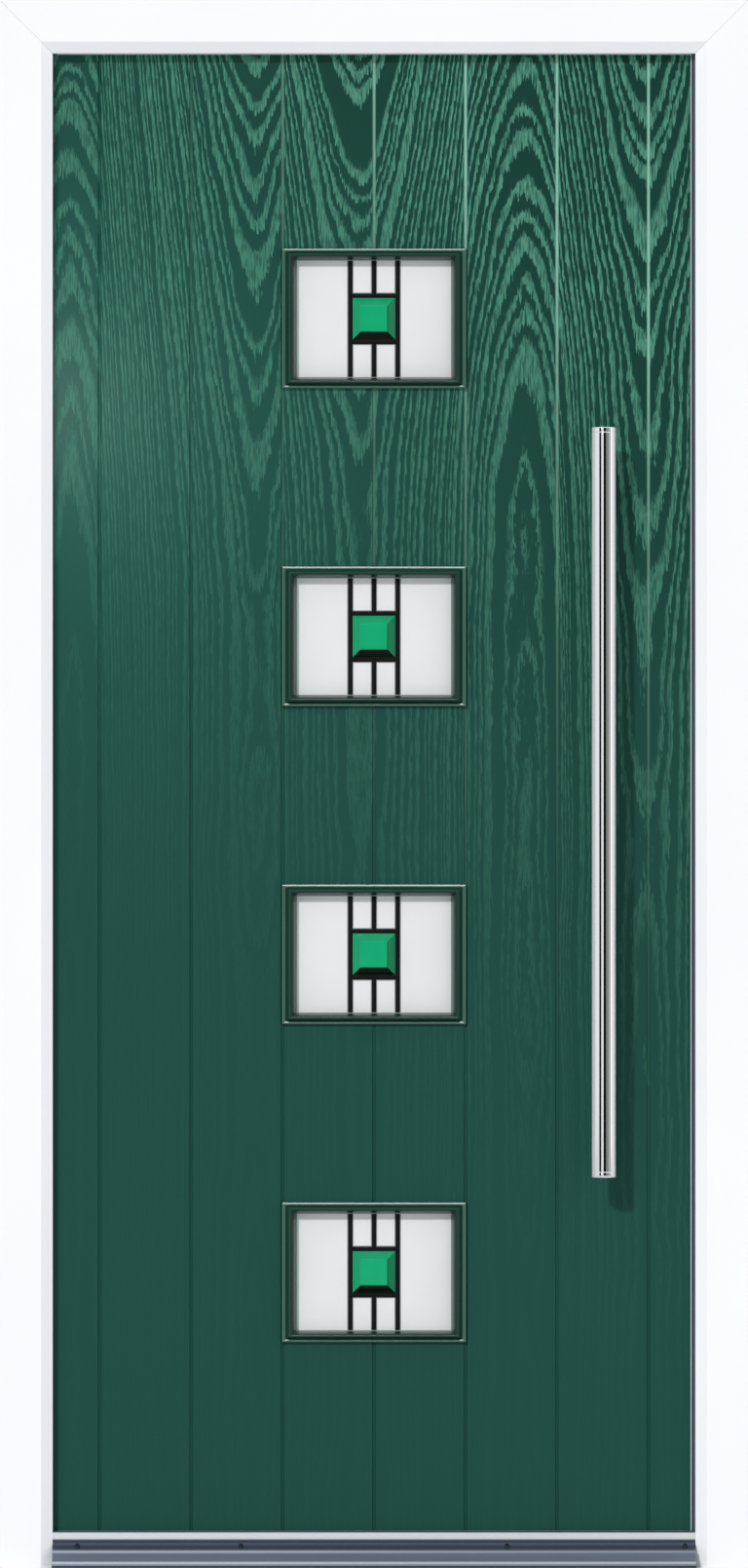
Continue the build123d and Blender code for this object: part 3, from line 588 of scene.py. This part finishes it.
def sealPiece(rubber):
    turn = np.linspace(-np.pi / 2, np.pi / 2, 9)
    half, middle = (seal["back"] - seal["front"]) / 2, (seal["back"] + seal["front"]) / 2
    tip = np.stack([1 - seal["round"] * (1 - np.cos(turn)), middle + half * np.sin(turn)], axis=1)
    profile = np.concatenate([[(0.0, seal["front"])], tip, [(0.0, seal["back"])]])
    side, low, high = seal["outer"]
    left, right, top, bottom = seal["lips"]
    s = profile[:, 0]
    x = np.stack([-side + left * s, side - right * s, side - right * s, -side + left * s])
    z = np.stack([low + bottom * s, low + bottom * s, high - top * s, high - top * s])
    points = np.stack([x, np.broadcast_to(profile[:, 1], x.shape), z], axis=-1).reshape(-1, 3) * mm
    faces = gridFaces(len(x), len(profile), True, True)[:, ::-1]
    piece = addPiece("frame_seal", points, faces, "frame", rubber)
    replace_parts(piece, "frame_gasket")


sealRubber = sealStrip()
dress(["frame_gasket"], sealRubber)
sealPiece(sealRubber)
print("seal made")


# Lever: a round bar carried along its neck, elbow and grip, its end rounded off, on a turned spindle.
lever = {"radius": 9.5, "elbow": 15.0, "axis": (401.0, 1030.0), "seatY": 41.0, "neck": 6.0, "gripY": 88.0,
         "tipX": 283.0, "tipLeast": 0.3, "spindle": 3.9, "spindleSteps": 24, "steps": 40}


def leverPiece():
    v = lever
    bend, cap = np.linspace(0, np.pi / 2, 13), np.linspace(0, np.pi / 2, 9)
    x0, z0 = v["axis"]
    neck = np.array([(x0, v["seatY"]), (x0, v["seatY"] + v["neck"])])
    elbow = np.stack([x0 - v["elbow"] * (1 - np.cos(bend)), v["gripY"] - v["elbow"] * (1 - np.sin(bend))], axis=1)
    grip = np.stack([v["tipX"] + v["radius"] * (1 - np.sin(cap)), np.full(len(cap), v["gripY"])], axis=1)
    path = np.concatenate([neck, elbow, grip])
    tip = np.maximum(v["radius"] * np.cos(cap), v["tipLeast"])
    plain = len(neck) + len(elbow)
    radius = np.concatenate([np.full(plain, v["radius"]), tip])[:, None]
    along = np.gradient(path, axis=0)
    along[plain:] = (-1.0, 0.0)
    along /= np.linalg.norm(along, axis=1, keepdims=True)
    turn = np.linspace(0, 2 * np.pi, v["steps"], endpoint=False)
    side, rise = radius * np.cos(turn), radius * np.sin(turn)
    tube = np.stack([path[:, :1] - along[:, 1:] * side, path[:, 1:] + along[:, :1] * side, z0 + rise], axis=-1)
    rod, rodFaces = turned(np.array([(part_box("lever")[0][1] / mm, v["spindle"]), (v["seatY"], v["spindle"])]),
                           v["spindleSteps"])
    rod = np.stack([x0 + rod[:, 1], rod[:, 2], z0 + rod[:, 0]], axis=-1)
    points, faces = joined([(tube.reshape(-1, 3), tubeFaces(len(path), v["steps"])), (rod, rodFaces)])
    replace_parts(addPiece("lever_handle", points * mm, faces, "lever", handleSteel, 50.0), "lever")


leverPiece()
print("lever made")


# Screws: a head's height over (radius, angle) is a low dome less a cross cut that is deepest in the middle.
screws = {"radius": 3.6, "rise": 0.7, "cut": 1.1, "cutWide": 1.1, "cutLong": 2.3, "cutEase": (0.25, 0.4), "sunk": 0.4,
          "middle": 0.04, "rings": 14, "steps": 48,
          # places: along the sill and on its slope, up and down from each hinge's height, up the handle plate, and in
          # from the ends of the lock's faceplate and keep
          "sillX": (-397.0, -178.0, 178.0, 416.0), "sillYZ": (-30.4, 29.25), "sillFacing": (0.0, -13.0, 13.7),
          "hinges": {"bottom": 250.0, "middle": 1035.0, "top": 1820.0}, "hingeOff": (13.0, 37.0),
          "hingeX": (-421.0, -475.0), "hingeY": 39.0, "plateXY": (401.0, 44.0), "plateZ": (903.0, 1072.0),
          "stripEnd": 9.0}


def screwHeads(name, places, facing, body, material):
    v = screws
    radius = v["radius"] * np.linspace(v["middle"], 1.0, v["rings"])[::-1, None]
    turn = np.linspace(0, 2 * np.pi, v["steps"], endpoint=False)[None, :]
    a, b = radius * np.cos(turn), radius * np.sin(turn)
    slim, long = np.minimum(np.abs(a), np.abs(b)), np.maximum(np.abs(a), np.abs(b))
    sideEase, endEase = v["cutEase"]
    cross = np.clip((v["cutWide"] / 2 - slim) / sideEase, 0, 1) * np.clip((v["cutLong"] - long) / endEase, 0, 1)
    height = v["rise"] * (1 - (radius / v["radius"]) ** 2) - v["cut"] * cross
    top = np.stack([a, b, height], axis=-1)
    skirt = np.concatenate([top[0, :, :2], np.full((v["steps"], 1), -v["sunk"])], axis=1)[None]
    grid = np.concatenate([skirt, top])
    out = np.array(facing) / np.linalg.norm(facing)
    first = np.cross((0.0, 0.0, 1.0), out) if abs(out[2]) < 0.9 else np.array([1.0, 0.0, 0.0])
    first /= np.linalg.norm(first)
    head = grid.reshape(-1, 3) @ np.stack([first, np.cross(out, first), out])
    points, faces = joined([(head + np.array(place), tubeFaces(len(grid), v["steps"])) for place in places])
    addPiece(name, points * mm, faces, body, material, 40.0)


def stripPlaces(box, right):  # near both ends of an upright strip, on its right or left face
    low, high = np.array(box) / mm
    heights = (low[2] + screws["stripEnd"], high[2] - screws["stripEnd"])
    return [(high[0] if right else low[0], (low[1] + high[1]) / 2, z) for z in heights]


screwHeads("sill_screws", [(x, *screws["sillYZ"]) for x in screws["sillX"]], screws["sillFacing"], "frame",
           screwSteel)
for name, height in screws["hinges"].items():
    (leafX, frameX), y = screws["hingeX"], screws["hingeY"]
    screwHeads(f"hinge_screws_leaf_{name}", [(leafX, y, height + z) for z in screws["hingeOff"]], (0.0, 1.0, 0.0),
               "leaf", lockSteel)
    screwHeads(f"hinge_screws_frame_{name}", [(frameX, y, height - z) for z in screws["hingeOff"]], (0.0, 1.0, 0.0),
               "frame", lockSteel)
screwHeads("plate_screws", [(*screws["plateXY"], z) for z in screws["plateZ"]], (0.0, 1.0, 0.0), "leaf",
           handleSteel)
screwHeads("faceplate_screws", stripPlaces(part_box("lock_faceplate"), True), (1.0, 0.0, 0.0), "leaf",
           lockSteel)
screwHeads("keep_screws", stripPlaces(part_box("keep_plate"), False), (-1.0, 0.0, 0.0), "frame",
           lockSteel)
print("screws made")


# Studio: pale floor and sky, a key lamp from the upper left with a fill and a back lamp, a lamp on the cassettes alone,
# which their lips throw back, a small lamp on the leaf's skin alone, and cards that only mirror-like surfaces see.
studio = {"sky": 0.39, "skySeen": 0.95,  # as light, and where it is seen or mirrored
          # far lamps as (strength, width in degrees, where from)
          "key": (1.8, 4.0, (-25.0, -59.0, 39.0)), "fill": (0.7, 70.0, (60.0, -60.0, 20.0)),
          "back": (0.9, 50.0, (25.0, 60.0, 35.0)), "trim": (0.65, 6.0, (0.0, -78.0, 63.0)),
          "glint": (3.4, 0.1, (-0.45, -0.32, 1.57)),  # the small lamp, as (watts, radius, place)
          # cards as (near and far bearing in degrees, brightness), round a point near the bar
          "cards": ((-45.0, -25.0, 0.02), (-4.0, 20.0, 0.004), (20.0, 46.0, 0.26), (46.0, 70.0, 0.5)),
          "cardRound": 0.3, "cardReach": 9.0, "cardLow": -2.0, "cardHigh": 7.0,
          "viewHeight": 2.095, "viewDrop": 0.0005, "frontY": -0.035, "distance": 14.0, "floorSpeck": 16.7}


def addFlat(name, points, material):  # one four-cornered sheet of the studio
    mesh = bpy.data.meshes.new(name)
    mesh.from_pydata(points, [], [(0, 1, 2, 3)])
    mesh.materials.append(material)
    sheet = bpy.data.objects.new(name, mesh)
    scene.collection.objects.link(sheet)
    return sheet


def addLamp(name, kind, energy, reaches=()):  # a lamp that lights everything, or only the pieces it is given
    light = bpy.data.objects.new(name, bpy.data.lights.new(name, kind))
    light.data.energy = energy
    scene.collection.objects.link(light)
    if reaches:
        lit = bpy.data.collections.new(name + " reaches")
        for piece in reaches:
            lit.objects.link(piece)
        light.light_linking.receiver_collection = lit
    return light


def buildStudio():
    s = studio
    floor, add, feed = newMaterial("pale studio floor", Roughness=0.8)
    speck = add("TexNoise", {"Vector": add("TexCoord", out="Object"), "Scale": 1 / (s["floorSpeck"] * mm)})
    feed("Base Color", add("Mix", {0: speck, 6: linear("#e8e9ea"), 7: linear("#eeefef")}, 2, data_type="RGBA"))
    addFlat("floor", [(-15, -20, 0), (15, -20, 0), (15, 10, 0), (-15, 10, 0)], floor)

    scene.world = bpy.data.worlds.new("studio sky")
    scene.world.use_nodes = True
    tree = scene.world.node_tree
    add = partial(addNode, tree)
    camera, glossy, through = (add("LightPath", out=f"Is {ray} Ray") for ray in ("Camera", "Glossy", "Transmission"))
    seen = add("Math", {0: camera, 1: glossy}, operation="ADD")
    seen = add("Math", {0: seen, 1: through}, operation="ADD", use_clamp=True)
    sky = tree.nodes["Background"]
    sky.inputs[0].default_value = linear("#fbfcff")
    tree.links.new(add("MapRange", {0: seen, 3: s["sky"], 4: s["skySeen"]}), sky.inputs[1])

    streetCassettes = [bpy.data.objects[name] for name in each("cassette_street")]
    for name, reaches in (("key", ()), ("fill", ()), ("back", ()), ("trim", streetCassettes)):
        strength, width, source = s[name]
        light = addLamp(name, "SUN", strength, reaches)
        light.data.angle = math.radians(width)
        light.rotation_euler = Vector(source).to_track_quat("Z", "Y").to_euler()
    watts, radius, place = s["glint"]
    light = addLamp("glint", "POINT", watts, [nodes["outer_skin"]])
    light.data.shadow_soft_size = radius
    light.location = place

    reach, low, high = s["cardReach"], s["cardLow"], s["cardHigh"]
    for number, (first, last, level) in enumerate(s["cards"]):
        card = bpy.data.materials.new(f"studio card {number}")
        card.use_nodes = True
        glow = addNode(card.node_tree, "Emission", {"Color": (level, level, level, 1.0), "Strength": 1.0})
        card.node_tree.links.new(glow, card.node_tree.nodes["Material Output"].inputs[0])
        (x0, y0), (x1, y1) = ((s["cardRound"] + reach * math.sin(math.radians(bearing)),
                               -reach * math.cos(math.radians(bearing))) for bearing in (first, last))
        sheet = addFlat(f"card_{number}", [(x0, y0, low), (x1, y1, low), (x1, y1, high), (x0, y0, high)], card)
        sheet.visible_camera = sheet.visible_diffuse = sheet.visible_shadow = sheet.visible_transmission = False

    lens = bpy.data.cameras.new("camera")
    lens.sensor_fit, lens.sensor_height, lens.clip_end = "VERTICAL", 24.0, 100.0
    lens.lens = lens.sensor_height * s["distance"] / s["viewHeight"]
    camera = bpy.data.objects.new("camera", lens)
    camera.location = (0.0, s["frontY"] - s["distance"], s["viewHeight"] / 2 - s["viewDrop"])
    camera.rotation_euler = (math.pi / 2, 0.0, 0.0)
    scene.collection.objects.link(camera)
    scene.camera = camera


buildStudio()
scene.view_settings.view_transform = "Standard"
print("studio set")
